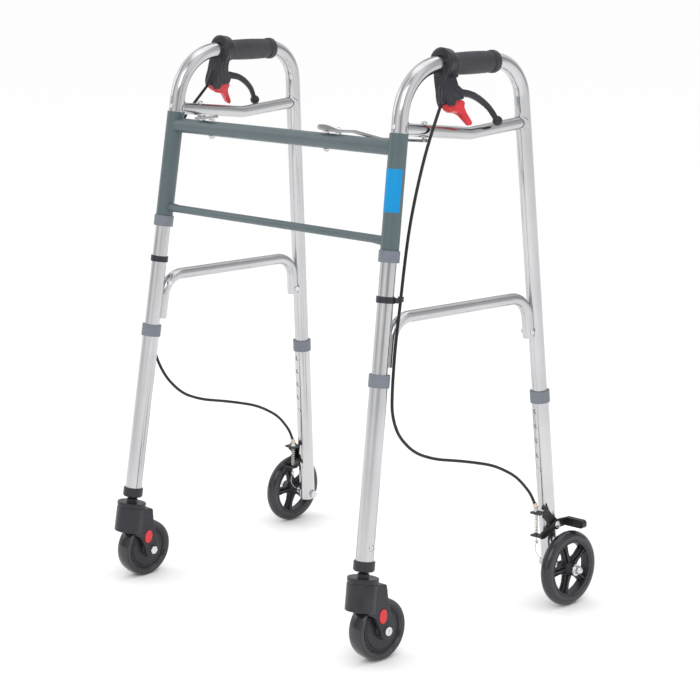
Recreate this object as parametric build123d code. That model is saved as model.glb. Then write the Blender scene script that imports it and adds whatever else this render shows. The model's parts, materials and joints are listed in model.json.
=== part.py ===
from build123d import *
from math import cos, radians, sin, sqrt, tan
import os

# Walking frame with two folding side frames, hand brakes, front casters and braked rear wheels.
# Millimetres. +Z is up, -Y is the front with the crossbars, +X is the user's left side.
# The origin is on the floor under the middle of the footprint.
#
# Each side frame is modelled flat, in its own plane: local X points outboard, local Y rearward
# and local Z up. place_left() stands it on the left and to_right() mirrors it to the other side.

# ---- driving dimensions ----
HINGE_HEIGHT = 810.0          # height of the side plane's reference point on the fold axis
HINGE_HALF_SPACING = 264.0    # fold axes from the centre plane at that height
HINGE_FORWARD = 130.0         # fold axes ahead of the origin at that height
SPLAY = 2.13                  # side planes lean outward towards the floor, degrees
TOE = 1.5                     # side planes open towards the rear, degrees
FRONT_SLOPE = 0.149           # rearward travel of the front upright per height
REAR_SLOPE = -0.0712          # the same for the rear upright
REAR_TOP_U = 278.6            # rear upright behind the fold axis at the reference height

TUBE_R = 12.7                 # 25.4 mm side tube
TUBE_WALL = 1.2
HANDLE_FRONT_Z = 912.0        # handle centreline over the front corner
HANDLE_REAR_Z = 908.0
HANDLE_FRONT_BEND = 88.0
HANDLE_REAR_BEND = 62.0
FRONT_TUBE_END_Z = 290.0
REAR_TUBE_END_Z = 205.0

LEG_R = 14.3                  # 28.6 mm leg extension over the side tube
LEG_BORE_R = 12.78
HOLE_PITCH = 25.4
HOLE_COUNT = 5
HOLE_R = 4.3
FRONT_BUTTON_Z = 313.0
REAR_BUTTON_Z = 230.0
BUTTON_R = 4.0
BUTTON_PROUD = 2.6            # button beyond the leg's outer wall
BUTTON_TRAVEL = 4.6
FRONT_LEG_TOP_Z, FRONT_LEG_BOTTOM_Z = 447.0, 164.0
REAR_LEG_TOP_Z, REAR_LEG_BOTTOM_Z = 363.0, 52.0
COLLAR_R = 16.5
COLLAR_HEIGHT = 18.0

SLEEVE_R = 14.5               # hinge sleeve of the front frame
SLEEVE_BORE_R = 12.76
SLEEVE_TOP_Z, SLEEVE_BOTTOM_Z = 811.0, 636.0
UPPER_BAR_Z, UPPER_BAR_R = 789.0, 12.2
LOWER_BAR_Z, LOWER_BAR_R = 650.0, 6.6

BRACE_R = 10.0
BRACE_WALL = 1.2
BRACE_FRONT_Z, BRACE_APEX_Z, BRACE_REAR_Z = 817.0, 800.0, 809.0
BRACE_APEX_U = 153.0
LOW_BRACE_R = 9.6
LOW_BRACE_FRONT_Z, LOW_BRACE_REAR_Z = 530.0, 525.0
LOW_BRACE_END_Z = 457.0
LOW_BRACE_OFFSET = 19.0       # brace leg from the upright's axis, where it hugs the upright
LOW_BRACE_BEND = 38.0

LEFT, RIGHT = "left", "right"
BRAKE_SHIFT = {LEFT: 0.0, RIGHT: 5.0}         # hand brake's place along the handle
CLAMP_START, CLAMP_END = 90.0, 113.0
CLAMP_R = 24.0
GRIP_END_U = {LEFT: 214.0, RIGHT: 222.0}
GRIP_R, GRIP_BAND_R = 17.3, 18.3
HOUSING_TILT = 12.0           # brake handle turned outward about the handle, degrees
LEVER_PIVOT = (112.0, -48.0)  # along the handle and above it
CATCH_PIVOT = (92.0, -62.5)
PIN_HALF = 10.6               # brake pins end inside their cheeks

STUD_U = 54.0                 # latch stud through the upper brace

CASTER_TOP_Z = 138.0
CASTER_TRAIL = 38.8
CASTER_DROP = 83.2            # hood top to wheel axle, along the leg
CASTER_WHEEL_R = 50.0
CASTER_WHEEL_WIDTH = 28.0
CASTER_CROWN = 46.0           # tread crown radius across the wheel
HOOD_R = 25.0
HOOD_WIDTH = 47.0
STEM_R = 6.0

REAR_WHEEL_R = 63.5
REAR_WHEEL_OUT = 40.0         # wheel centre plane outboard of the leg
REAR_TYRE_WIDTH = 21.5
REAR_TYRE_CROWN = 10.75
RIM_R = 46.0
SPOKES = 5
AXLE_R = 4.0
RUNNING = 0.06                # radial clearance of running fits

BRAKE_PIVOT = (326.7, 135.0)  # rearward place and height on the rear leg
CABLE_R = 2.5
CABLE_END_U = 295.0           # brake cable ahead of the rear leg
CABLE_END_OUT = 2.5
CABLE_END_Z = 169.0
SPRING_TOP_Z, SPRING_BOTTOM_Z = 157.0, 121.0

LATCH_THICKNESS = 3.0
LATCH_WIDTH = 14.0
LATCH_LIFT = 3.4              # plate underside over the crossbar at its pivot
LATCH_END_TOP_Z = 797.6       # plate's top under the stud
LATCH_FLAT = {LEFT: 72.0, RIGHT: 61.7}        # low flat run of the plate, back from the stud
LATCH_RAMP = {LEFT: 44.0, RIGHT: 14.0}        # sloping run ahead of the flat one
PADDLE_LENGTH = {LEFT: 15.0, RIGHT: 8.0}      # straight part, before the round end
PADDLE_BOLT = {LEFT: 27.0, RIGHT: 25.0}       # bolt inboard of the plate's pivot
PADDLE_R = 11.0
LATCH_X = {LEFT: 136.0, RIGHT: 192.0}         # plate pivots from the centre plane


# ---- the side plane ----
def height(z):
    """Distance up the leaning side plane from its reference point, for a height over the floor."""
    return (z - HINGE_HEIGHT) / cos(radians(SPLAY))


def front_u(z):
    return FRONT_SLOPE * (z - HINGE_HEIGHT)


def rear_u(z):
    return REAR_TOP_U + REAR_SLOPE * (z - HINGE_HEIGHT)


def at(u, z, out=0.0):
    """A point of the side plane's local frame."""
    return Vector(out, u, height(z))


FRONT_DIR = (at(front_u(900), 900) - at(front_u(100), 100)).normalized()
REAR_DIR = (at(rear_u(900), 900) - at(rear_u(100), 100)).normalized()
SIDE_TO_LEFT = Pos(HINGE_HALF_SPACING, -HINGE_FORWARD, HINGE_HEIGHT) * Rot(0, 0, -TOE) * Rot(0, -SPLAY, 0)


def place_left(shape):
    return SIDE_TO_LEFT * shape


def to_right(shape):
    return mirror(shape, about=Plane.YZ)


def on_front(z):
    """Plane square to the front upright: X outboard, Y rearward, Z up the upright."""
    return Plane(origin=at(front_u(z), z), x_dir=(1, 0, 0), z_dir=FRONT_DIR)


def on_rear(z):
    return Plane(origin=at(rear_u(z), z), x_dir=(1, 0, 0), z_dir=REAR_DIR)


def facing_out(u, z, out=0.0):
    """Plane whose X runs rearward, Y up and Z outboard."""
    return Plane(origin=at(u, z, out), x_dir=(0, 1, 0), z_dir=(1, 0, 0))


HANDLE_DIR = (at(rear_u(HANDLE_REAR_Z), HANDLE_REAR_Z) - at(front_u(HANDLE_FRONT_Z), HANDLE_FRONT_Z)).normalized()


def handle_z(u):
    run = rear_u(HANDLE_REAR_Z) - front_u(HANDLE_FRONT_Z)
    return HANDLE_FRONT_Z + (HANDLE_REAR_Z - HANDLE_FRONT_Z) * (u - front_u(HANDLE_FRONT_Z)) / run


def brake_plane(side=LEFT):
    """Plane of the hand brake: X along the handle, Y up, Z outboard, on the handle's axis."""
    up = Vector(-sin(radians(HOUSING_TILT)), 0, cos(radians(HOUSING_TILT)))
    start = BRAKE_SHIFT[side]
    return Plane(origin=at(start, handle_z(start)), x_dir=HANDLE_DIR, z_dir=HANDLE_DIR.cross(up))


def at_brake(point, side=LEFT):
    """Plane of the hand brake, moved to a point given along and above the handle."""
    plane = brake_plane(side)
    origin = plane.from_local_coords(Vector(point[0], point[1], 0))
    return Plane(origin=origin, x_dir=plane.x_dir, z_dir=plane.z_dir)


# ---- small solids, each standing on its plane's origin ----
def rod(plane, radius, length, start=0.0):
    base = Cylinder(radius, length, align=(Align.CENTER, Align.CENTER, Align.MIN))
    return plane * Pos(0, 0, start) * base


def ring(plane, outer, inner, length, start=0.0):
    return rod(plane, outer, length, start) - rod(plane, inner, length + 2, start - 1)


def block(plane, x0, x1, y0, y1, z0, z1):
    body = Box(x1 - x0, y1 - y0, z1 - z0, align=(Align.MIN, Align.MIN, Align.MIN))
    return plane * Pos(x0, y0, z0) * body


def prism(plane, points, z0, z1):
    """Polygon on the plane, extruded from z0 to z1."""
    return plane * extrude(Pos(0, 0, z0) * make_face(Polyline(*points, close=True)), z1 - z0)


def bent_rod(path, radius):
    return sweep(Plane(origin=path @ 0, z_dir=path % 0) * Circle(radius), path=path)


def bent_tube(path, radius, wall):
    return bent_rod(path, radius) - bent_rod(path, radius - wall)


def dome_screw(plane, radius, tall):
    """Domed head as a slice of a ball that stands on the plane."""
    ball_r = (radius ** 2 + tall ** 2) / (2 * tall)
    ball = plane * Pos(0, 0, tall - ball_r) * Sphere(ball_r)
    return ball & rod(plane, radius + 1, tall + 1)


def coil(plane, radius, wire_r, length, turns):
    path = Helix(pitch=length / turns, height=length, radius=radius)
    return plane * sweep(Plane(origin=path @ 0, z_dir=path % 0) * Circle(wire_r), path=path, is_frenet=True)


# ---- side frame ----
def side_path():
    return FilletPolyline(
        at(front_u(FRONT_TUBE_END_Z), FRONT_TUBE_END_Z),
        at(front_u(HANDLE_FRONT_Z), HANDLE_FRONT_Z),
        at(rear_u(HANDLE_REAR_Z), HANDLE_REAR_Z),
        at(rear_u(REAR_TUBE_END_Z), REAR_TUBE_END_Z),
        radius=(HANDLE_FRONT_BEND, HANDLE_REAR_BEND),
    )


def button_plane(on_leg, z, toward):
    """Plane on a leg's axis that looks rearward (1) or forward (-1), square to the leg."""
    leg = on_leg(z)
    return Plane(origin=leg.origin, x_dir=leg.x_dir, z_dir=leg.y_dir * toward)


FRONT_BUTTON = button_plane(on_front, FRONT_BUTTON_Z, 1)
REAR_BUTTON = button_plane(on_rear, REAR_BUTTON_Z, -1)
LOW_BOLT_FRONT = facing_out(front_u(519) + LOW_BRACE_OFFSET + 1, 519)
LOW_BOLT_REAR = facing_out(rear_u(467) - LOW_BRACE_OFFSET, 467)
STOP_SCREW_Z = 820.0


def stop_screw_plane():
    leg = on_front(STOP_SCREW_Z)
    return Plane(origin=leg.origin, x_dir=leg.x_dir, z_dir=-leg.y_dir)


def side_tube():
    tube = bent_tube(side_path(), TUBE_R, TUBE_WALL)
    for plane in (FRONT_BUTTON, REAR_BUTTON):
        tube -= rod(plane, HOLE_R, 2 * TUBE_R)
    return tube - rod(stop_screw_plane(), 3, 2 * TUBE_R)


def uprights_solid():
    front = rod(on_front(FRONT_TUBE_END_Z), TUBE_R, 620)
    rear = rod(on_rear(REAR_TUBE_END_Z), TUBE_R, 700)
    return front + rear


def upper_brace():
    path = FilletPolyline(
        at(front_u(BRACE_FRONT_Z), BRACE_FRONT_Z),
        at(BRACE_APEX_U, BRACE_APEX_Z),
        at(rear_u(BRACE_REAR_Z), BRACE_REAR_Z),
        radius=60,
    )
    tube = bent_tube(path, BRACE_R, BRACE_WALL) - uprights_solid()
    tube -= rod(on_front(SLEEVE_TOP_Z), SLEEVE_R + 0.6, 30, -29.2)
    return tube - rod(stud_plane(), 4, 60, -30)


def brace_saddles():
    """Thin shells that wrap the uprights where the upper brace meets them."""
    reach = BRACE_R + 4
    shells = []
    for leg, z, way in ((on_front, BRACE_FRONT_Z, 1), (on_rear, BRACE_REAR_Z, -1)):
        shell = ring(leg(z), TUBE_R + 1.3, TUBE_R, 34, -4 if way == 1 else -17)
        brace_end = rod(button_plane(leg, z, way), reach, 40, 2)
        core = rod(button_plane(leg, z, way), BRACE_R + 0.8, 40, 2)
        shells.append((shell & brace_end) - core)
    return shells


def lower_brace():
    front_top = LOW_BRACE_FRONT_Z
    rear_top = LOW_BRACE_REAR_Z
    offset = LOW_BRACE_OFFSET
    path = FilletPolyline(
        at(front_u(LOW_BRACE_END_Z) + offset, LOW_BRACE_END_Z),
        at(front_u(front_top) + offset, front_top),
        at(rear_u(rear_top) - offset, rear_top),
        at(rear_u(LOW_BRACE_END_Z) - offset, LOW_BRACE_END_Z),
        radius=LOW_BRACE_BEND,
    )
    tube = bent_tube(path, LOW_BRACE_R, BRACE_WALL) - uprights_solid()
    for bolt in (LOW_BOLT_FRONT, LOW_BOLT_REAR):
        tube -= rod(bolt, 2.5, 60, -30)
    return tube


def side_braces():
    return [upper_brace(), lower_brace(), *brace_saddles()]


def grip(side):
    start, end = CLAMP_END + BRAKE_SHIFT[side] + 0.5, GRIP_END_U[side]
    band_start = end - 12
    sleeve = bent_rod(side_path(), GRIP_R) & block(Plane.XY, -30, 30, start, band_start, 50, 130)
    band = bent_rod(side_path(), GRIP_BAND_R) & block(Plane.XY, -30, 30, band_start, end, 50, 130)
    return (sleeve + band) - bent_rod(side_path(), TUBE_R)


def stud_plane():
    """Upright plane on the upper brace where the latch stud goes through it."""
    along = (STUD_U - front_u(BRACE_FRONT_Z)) / (BRACE_APEX_U - front_u(BRACE_FRONT_Z))
    z = BRACE_FRONT_Z + (BRACE_APEX_Z - BRACE_FRONT_Z) * along
    return Plane(origin=at(STUD_U, z), x_dir=(1, 0, 0), z_dir=(0, 0, 1))


STUD_DROP = 12.2              # stud tip below the brace's centreline


def frame_hardware(side):
    stud = rod(stud_plane(), 4, STUD_DROP + BRACE_R + 1.5, -STUD_DROP)
    stud += dome_screw(Plane(origin=stud_plane().origin + Vector(0, 0, BRACE_R + 1.5)), 6, 3.5)
    pieces = [stud]
    for bolt in (LOW_BOLT_FRONT, LOW_BOLT_REAR):
        outer = Plane(origin=bolt.origin + bolt.z_dir * LOW_BRACE_R, x_dir=bolt.x_dir, z_dir=bolt.z_dir)
        inner = Plane(origin=bolt.origin - bolt.z_dir * LOW_BRACE_R, x_dir=bolt.x_dir, z_dir=-bolt.z_dir)
        shank = rod(bolt, 2.5, 2 * LOW_BRACE_R, -LOW_BRACE_R)
        pieces.append(shank + dome_screw(outer, 4.5, 2.6) + rod(inner, 4.2, 3))
    screw = stop_screw_plane()
    head = Plane(origin=screw.origin + screw.z_dir * TUBE_R, x_dir=screw.x_dir, z_dir=screw.z_dir)
    pieces.append(dome_screw(head, 4.2, 2.4) + rod(screw, 3, 4, TUBE_R - 4))
    pieces.append(rod(at_brake(LEVER_PIVOT, side), 2.5, 2 * PIN_HALF, -PIN_HALF))
    pieces.append(rod(at_brake(CATCH_PIVOT, side), 2.0, 2 * PIN_HALF, -PIN_HALF))
    clamp = at_brake(PINCH_SCREW, side)
    face = Plane(clamp.origin + clamp.z_dir * PINCH_LUG_OUT, z_dir=clamp.z_dir)
    pieces.append(dome_screw(face, 3.2, 2))
    return pieces


HOUSING = ((88, 0), (84, -20), (84, -36), (82, -50), (82, -58), (85, -67), (98, -67), (102, -60), (119, -58),
           (121, -50), (120, -43), (112, -36), (110, -26), (112, -14), (112, 0))
PINCH_SCREW = (104, -19)
PINCH_LUG_OUT = 18.0
CABLE_EXIT = (80.0, -61.0)
BOSS_TOP = (87.0, -36.0)


def brake_housing(side):
    """Clamp round the handle with two cheeks under it that hold the lever and the parking catch."""
    plane = brake_plane(side)
    along = Plane(plane.from_local_coords(Vector(CLAMP_START, 1.5, 0)), x_dir=plane.z_dir, z_dir=plane.x_dir)
    body = prism(plane, HOUSING, -12, 12)
    body = fillet(body.edges().filter_by(GeomType.LINE).filter_by(Axis(plane.origin, plane.z_dir)), 2.0)
    clamp = rod(along, CLAMP_R, CLAMP_END - CLAMP_START)
    body += fillet(clamp.edges().filter_by(GeomType.CIRCLE), 4)
    body += rod(at_brake(PINCH_SCREW, side), 6.5, PINCH_LUG_OUT)
    body += cable_boss(side)
    body -= bent_rod(side_path(), TUBE_R)
    lever_gap = rod(at_brake(LEVER_PIVOT, side), 10, 13, -6.5)
    lever_gap += block(at_brake(LEVER_PIVOT, side), 0, 40, -14, 18, -6.5, 6.5)
    body -= lever_gap
    body -= block(at_brake(CATCH_PIVOT, side), -8, 60, -40, 6, -8, 8)
    for pivot, radius in ((LEVER_PIVOT, 2.5), (CATCH_PIVOT, 2.0)):
        body -= rod(at_brake(pivot, side), radius, 2 * PIN_HALF, -PIN_HALF)
    return body


def cable_boss(side):
    """Boss on the front of the housing that the cable leaves from."""
    top, bottom = at_brake(BOSS_TOP, side).origin, at_brake(CABLE_EXIT, side).origin
    drop = bottom - top
    return rod(Plane(origin=top, z_dir=drop.normalized()), 4.6, drop.length)


LEVER_LINE = ((112, -48), (126, -46.5), (133, -47.5), (151, -51), (168, -60), (182, -72), (191, -84),
              (197, -94))


def brake_lever(side):
    plane = brake_plane(side)
    path = plane * Spline(*[Vector(x, y, 0) for x, y in LEVER_LINE])
    blade = sweep(Plane(origin=path @ 0, x_dir=plane.z_dir, z_dir=path % 0) * Ellipse(5.4, 4.4), path=path)
    hub = rod(at_brake(LEVER_PIVOT, side), 8, 12, -6)
    ball = at_brake((198, -95), side) * Sphere(8.2)
    return (blade + hub + ball) - rod(at_brake(LEVER_PIVOT, side), 2.5 + RUNNING, 40, -20)


CATCH = ((87, -63), (91, -58), (120, -58.5), (125.5, -62), (122.5, -70), (126, -77), (136.5, -91), (137, -95),
         (134, -98.5), (129.5, -97), (117.5, -81), (110, -77), (96, -75), (88, -70))


def parking_catch(side):
    plane = brake_plane(side)
    body = prism(plane, CATCH, -7, 7)
    body = fillet(body.edges().filter_by(Axis(plane.origin, plane.z_dir)), 1.4)
    return body - rod(at_brake(CATCH_PIVOT, side), 2.0 + RUNNING, 40, -20)


CABLE_TOP = {                 # rearward, height, outboard
    LEFT: ((72, 840, 14), (44, 787, 15), (21, 728, 15)),
    RIGHT: ((66, 832, 14.5), (28.5, 795, 16.5), (13.5, 738, 15.8)),
}
CABLE_ROUTE = (
    (2, 668, 15.2), (-11, 609, 15.3), (-22.5, 549, 15.6), (-35, 489, 16), (-42.5, 428, 15.6),
    (-38, 385, 8), (-20, 347, 2), (15, 313, 0), (60, 294, 0), (132, 277, 0), (200, 257, 0), (252, 228, 0),
    (283, 194, 1.5), (CABLE_END_U, CABLE_END_Z, CABLE_END_OUT),
)


def cable_path(side):
    boss_end = at_brake(CABLE_EXIT, side).origin
    start = boss_end + (boss_end - at_brake(BOSS_TOP, side).origin).normalized() * 1.4
    points = [start, *[at(*point) for point in CABLE_TOP[side] + CABLE_ROUTE]]
    return FilletPolyline(*points, radius=[corner_radius(*points[k:k + 3]) for k in range(len(points) - 2)])


def corner_radius(before, corner, after):
    """Largest bend radius that leaves a little of both straights beside a corner."""
    arriving, leaving = corner - before, after - corner
    turn = radians(arriving.get_angle(leaving))
    return 0.46 * min(arriving.length, leaving.length) / tan(turn / 2)


def brake_cable(side):
    return bent_rod(cable_path(side), CABLE_R)


CLIP_Z = 557.0
CLIP_HEIGHT = 10.0
CLIP_EYE = (-20.7, 15.58)      # rearward and outboard


def cable_clip(side):
    plane = on_front(CLIP_Z)
    band = ring(plane, TUBE_R + 2.2, TUBE_R, CLIP_HEIGHT)
    eye = Plane(origin=at(CLIP_EYE[0], CLIP_Z, CLIP_EYE[1]), x_dir=(1, 0, 0), z_dir=FRONT_DIR)
    lug = block(plane, 10, 17, 4, 17, 1, CLIP_HEIGHT - 1)
    clip = band + lug + rod(eye, 4.6, CLIP_HEIGHT - 2, 1)
    return clip - rod(plane, TUBE_R, 30, -10) - rod(eye, CABLE_R + 0.4, 30, -10)


def snap_button(plane, up):
    """Sprung button and its leaf, which stands inside the tube."""
    tip = LEG_R + BUTTON_PROUD
    base = TUBE_R - TUBE_WALL - 3.5
    button = dome_screw(Plane(plane.origin + plane.z_dir * (tip - 2), z_dir=plane.z_dir), BUTTON_R, 2)
    button += rod(plane, BUTTON_R, tip - 2 - base, base)
    leaf = block(plane, -4, 4, -4.5, 40, base - 1, base) if up else block(plane, -4, 4, -40, 4.5, base - 1, base)
    return button + leaf


# ---- leg extensions ----
def leg_tube(on_leg, bottom_z, top_z, button, climb):
    length = (top_z - bottom_z) / cos(radians(SPLAY)) / on_leg(0).z_dir.Z
    tube = ring(on_leg(bottom_z), LEG_R, LEG_BORE_R, length)
    for step in range(HOLE_COUNT):
        shift = on_leg(bottom_z).z_dir * (HOLE_PITCH * step * climb)
        tube -= rod(Plane(button.origin + shift, z_dir=button.z_dir), HOLE_R, 2 * LEG_R)
    return tube


def leg_collar(on_leg, top_z):
    """Moulded collar over the leg's top edge, with a lip that closes on the side tube."""
    plane = on_leg(top_z)
    skirt = ring(plane, COLLAR_R, LEG_R, COLLAR_HEIGHT, -COLLAR_HEIGHT)
    lip = ring(plane, COLLAR_R, LEG_BORE_R, 2)
    collar = skirt + lip
    return collar


def leg_front():
    return leg_tube(on_front, FRONT_LEG_BOTTOM_Z, FRONT_LEG_TOP_Z, FRONT_BUTTON, 1)


def leg_plug():
    """Plug in the foot of the front leg that carries the caster's stem."""
    plane = on_front(FRONT_LEG_BOTTOM_Z)
    collar = rod(plane, 17, 16, -16)
    collar = chamfer(collar.edges().filter_by(GeomType.CIRCLE), 1.5)
    plug = collar + rod(plane, LEG_BORE_R - 0.1, 42)
    return plug - rod(plane, STEM_R + RUNNING, 80, -20)


def caster_frame():
    """Plane on the caster's swivel axis at the hood's top: X outboard, Y along the trail, Z up."""
    return on_front(CASTER_TOP_Z)


def caster_axle_plane():
    plane = caster_frame()
    origin = plane.from_local_coords(Vector(0, CASTER_TRAIL, -CASTER_DROP))
    return Plane(origin=origin, x_dir=plane.y_dir, z_dir=plane.x_dir)


CHEEK = ((-4, -9), (30, -9), (36, -34), (53, -78), (46, -95), (32, -95), (22, -78), (12, -62), (-4, -54))
HOOD_HEIGHT = 52.0


def caster_fork():
    plane = caster_frame()
    side = Plane(origin=plane.origin, x_dir=plane.y_dir, z_dir=plane.x_dir)
    half = HOOD_WIDTH / 2
    hood = rod(plane, HOOD_R, HOOD_HEIGHT, -HOOD_HEIGHT)
    hood -= ring(plane, HOOD_R + 5, HOOD_R - 1.6, 2.5, -9)
    cheeks = prism(side, CHEEK, -half, half)
    cheeks = fillet(cheeks.edges().filter_by(Axis(side.origin, side.z_dir)), 3)
    fork = hood + cheeks + rod(caster_axle_plane(), 13.5, HOOD_WIDTH, -half)
    fork -= rod(caster_axle_plane(), CASTER_WHEEL_R + 3, CASTER_WHEEL_WIDTH + 5, -CASTER_WHEEL_WIDTH / 2 - 2.5)
    fork += rod(plane, STEM_R, 56, -2)
    fork += rod(plane, 9.5, 6.5)
    fork -= rod(caster_axle_plane(), AXLE_R, 80, -40)
    plug = red_plug_plane()
    return fork - plug * extrude(Ellipse(*RED_PLUG), 4)


RED_PLUG = (8.0, 11.5)


def red_plug_plane():
    plane = caster_axle_plane()
    origin = plane.from_local_coords(Vector(-12, 24, HOOD_WIDTH / 2 - 2))
    return Plane(origin=origin, x_dir=plane.x_dir, z_dir=plane.z_dir)


def caster_plug():
    return red_plug_plane() * extrude(Ellipse(*RED_PLUG), 3)


def caster_axle():
    plane = caster_axle_plane()
    half = HOOD_WIDTH / 2
    bolt = rod(plane, AXLE_R, HOOD_WIDTH, -half)
    bolt += rod(plane, 7, 3.5, half)
    bolt -= plane * Pos(0, 0, half + 1.5) * extrude(RegularPolygon(3.2, 6), 3)
    return bolt + plane * extrude(Pos(0, 0, -half - 6) * RegularPolygon(7.5, 6), 6)


def wheel_ring(plane, points):
    """Solid of revolution about the plane's Z axis, from its radial profile."""
    profile = make_face(Polyline(*points, close=True))
    return plane * revolve(Plane.XZ * profile, Axis.Z)


def tread(plane, radius, inner, width, crown, groove=0.0):
    """Tyre with an arched tread: crown is the arc's radius across the width."""
    half = width / 2
    shoulder = radius - crown + sqrt(crown ** 2 - half ** 2) if crown > half else radius - crown
    arch = ThreePointArc((shoulder, -half), (radius, 0), (shoulder, half))
    inner_line = Polyline((shoulder, half), (inner, half - groove), (inner, -half + groove), (shoulder, -half))
    return plane * revolve(Plane.XZ * make_face([arch, inner_line]), Axis.Z)


def caster_tyre():
    return tread(caster_axle_plane(), CASTER_WHEEL_R, 37, CASTER_WHEEL_WIDTH, CASTER_CROWN, 3.5)


def caster_hub():
    plane = caster_axle_plane()
    half = CASTER_WHEEL_WIDTH / 2
    outline = ((AXLE_R + RUNNING, -half - 1), (11, -half - 1), (13, -half + 2), (33, -half + 3), (37, -half + 5),
               (37, half - 5), (33, half - 3), (13, half - 2), (11, half + 1), (AXLE_R + RUNNING, half + 1))
    return wheel_ring(plane, outline)


def rear_axle_plane():
    """Plane on the rear axle where the leg's axis crosses it, looking outboard."""
    lowest = (REAR_WHEEL_R - REAR_TYRE_CROWN) * cos(radians(SPLAY)) + REAR_TYRE_CROWN
    z = lowest - REAR_WHEEL_OUT * sin(radians(SPLAY))
    return facing_out(rear_u(z), z)


def leg_rear():
    tube = leg_tube(on_rear, REAR_LEG_BOTTOM_Z, REAR_LEG_TOP_Z, REAR_BUTTON, 1)
    tube -= rod(rear_axle_plane(), AXLE_R, 60, -30)
    return tube - rod(facing_out(*BRAKE_PIVOT), 3.5, 30)


def rear_tyre():
    plane = rear_axle_plane()
    middle = Plane(plane.origin + plane.z_dir * REAR_WHEEL_OUT, x_dir=plane.x_dir, z_dir=plane.z_dir)
    return tread(middle, REAR_WHEEL_R, RIM_R + 4, REAR_TYRE_WIDTH, REAR_TYRE_CROWN, 2)


def rear_hub():
    plane = rear_axle_plane()
    middle = Plane(plane.origin + plane.z_dir * REAR_WHEEL_OUT, x_dir=plane.x_dir, z_dir=plane.z_dir)
    hub = ring(middle, RIM_R + 4, RIM_R, 19, -9.5)
    hub += ring(middle, RIM_R + 1, RIM_R - 4, 5, -2.5)
    hub += rod(middle, 13, 34, -17)
    for spoke in range(SPOKES):
        turned = middle * Rot(0, 0, 360 / SPOKES * spoke + 180)
        hub += turned * Pos(28, 0, 0) * Box(34, 13, 5)
        hub += turned * Pos(28, 0, 0) * Box(34, 4, 13)
    return hub - rod(middle, AXLE_R + RUNNING, 60, -30)


def rear_hardware():
    """Axle bolt with its nuts and washers, brake pivot bolt, cable adjuster and inner wire."""
    plane = rear_axle_plane()
    wheel_face = REAR_WHEEL_OUT + 17.5
    axle = rod(plane, AXLE_R, wheel_face + 4 + LEG_R, -LEG_R)
    axle += plane * extrude(Pos(0, 0, -LEG_R - 5) * RegularPolygon(7.5, 6), 5)
    axle += rod(plane, 10, 1.6, wheel_face)
    axle += plane * extrude(Pos(0, 0, wheel_face + 1.6) * RegularPolygon(7.2, 6), 5)
    axle += plane * Pos(0, 0, wheel_face + 6.6) * (Sphere(6.2) & Pos(0, 0, 5) * Box(20, 20, 10))
    axle += ring(plane, 7, AXLE_R, REAR_WHEEL_OUT - 17.5 - LEG_R, LEG_R)
    pivot = facing_out(*BRAKE_PIVOT)
    bolt = rod(pivot, 3.5, 22)
    bolt += rod(pivot, 6.5, 1.2, 22) + dome_screw(facing_out(*BRAKE_PIVOT, 23.2), 5.5, 3.4)
    stop = cable_stop_plane()
    adjuster = rod(stop, 3.4, CABLE_END_Z - SPRING_TOP_Z - 4.4, 1.5) + rod(stop, 4.6, 3, 1.5)
    wire = rod(stop, 0.8, 56, -53)
    nipple = rod(stop, 2.6, 4, -53)
    return [axle, bolt, adjuster + wire + nipple]


def cable_stop_plane():
    return Plane(origin=at(CABLE_END_U, SPRING_TOP_Z + 1.5, CABLE_END_OUT), x_dir=(1, 0, 0), z_dir=(0, 0, 1))


BRACKET = ((297, 151), (298, 158), (303, 163), (305, 168), (309, 168.5), (311.5, 162), (322, 150), (333, 142),
           (334.5, 131), (325, 127), (315, 133), (302, 147))


def brake_bracket():
    plate = prism(facing_out(0, HINGE_HEIGHT), [(u, height(z)) for u, z in BRACKET], LEG_R, LEG_R + 3)
    tab = block(cable_stop_plane(), -7, LEG_R + 3 - CABLE_END_OUT, -7, 9, -1.5, 1.5)
    bracket = plate + tab - rod(facing_out(*BRAKE_PIVOT), 3.5, 60)
    return bracket - rod(cable_stop_plane(), 1.2, 40, -20)


ARM = ((288, 117), (286, 121), (289, 127), (318, 140), (336, 143), (356, 141.5), (356, 129.5), (338, 129),
       (322, 128), (295, 117))
ARM_IN, ARM_OUT = LEG_R + 3.3, LEG_R + 7.4
SHOE_FRONT_U, SHOE_REAR_U = 351.0, 361.0
SHOE_TOP_Z, SHOE_BOTTOM_Z = 141.5, 127.5
SHOE_OUT = 57.0


def brake_arm():
    """Lever beside the leg: a seat for the cable and spring, a pivot, and a shoe over the tyre."""
    side = facing_out(0, HINGE_HEIGHT)
    plate = prism(side, [(u, height(z)) for u, z in ARM], ARM_IN, ARM_OUT)
    seat = Plane(origin=at(CABLE_END_U, SPRING_BOTTOM_Z - 3, CABLE_END_OUT), x_dir=(1, 0, 0), z_dir=(0, 0, 1))
    tab = block(seat, -7, ARM_OUT - CABLE_END_OUT, -7, 6, 0, 3)
    hub = rod(facing_out(*BRAKE_PIVOT, ARM_IN), 9, ARM_OUT - ARM_IN)
    low, top = height(SHOE_BOTTOM_Z), height(SHOE_TOP_Z)
    shoe = block(side, SHOE_FRONT_U, SHOE_REAR_U, low, top, ARM_IN, SHOE_OUT)
    shoe = fillet(shoe.edges().filter_by(Axis.Y).group_by(Axis.X)[-1], 6)
    arm = plate + tab + hub + shoe
    arm -= rod(facing_out(*BRAKE_PIVOT), 3.5 + RUNNING, 60)
    slot = seat * Pos(0, 1.2, 0) * SlotCenterToCenter(2.4, 3.6, rotation=90)
    return arm - extrude(slot, 15, both=True)


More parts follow.
